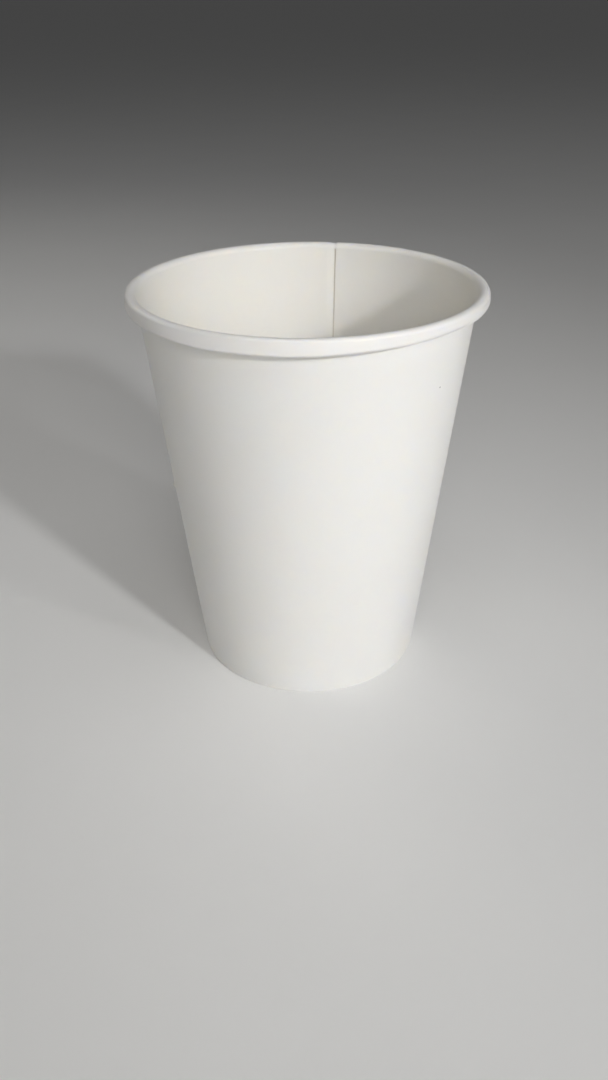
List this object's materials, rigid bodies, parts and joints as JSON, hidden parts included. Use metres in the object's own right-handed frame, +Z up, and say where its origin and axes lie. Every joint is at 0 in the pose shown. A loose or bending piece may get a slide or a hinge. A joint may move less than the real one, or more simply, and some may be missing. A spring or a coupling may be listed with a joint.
{
  "type": "paper coffee cup",
  "caption": "Plain white tapered paper cup for hot drinks, with a rolled rim, a lapped side seam and a recessed bottom held in the folded foot.",
  "frame": {"origin": "centre of the foot, on the surface that the cup stands on", "axes": "+Z up along the cup's axis towards the rim; the side seam's inner edge is at +Y"},
  "size_m": [0.08, 0.08, 0.093],
  "materials": {
    "sidewall_board": "satin",
    "bottom_board": "satin"
  },
  "bodies": {
    "root": {"sidewall": "sidewall_board", "bottom": "bottom_board"}
  },
  "joints": []
}
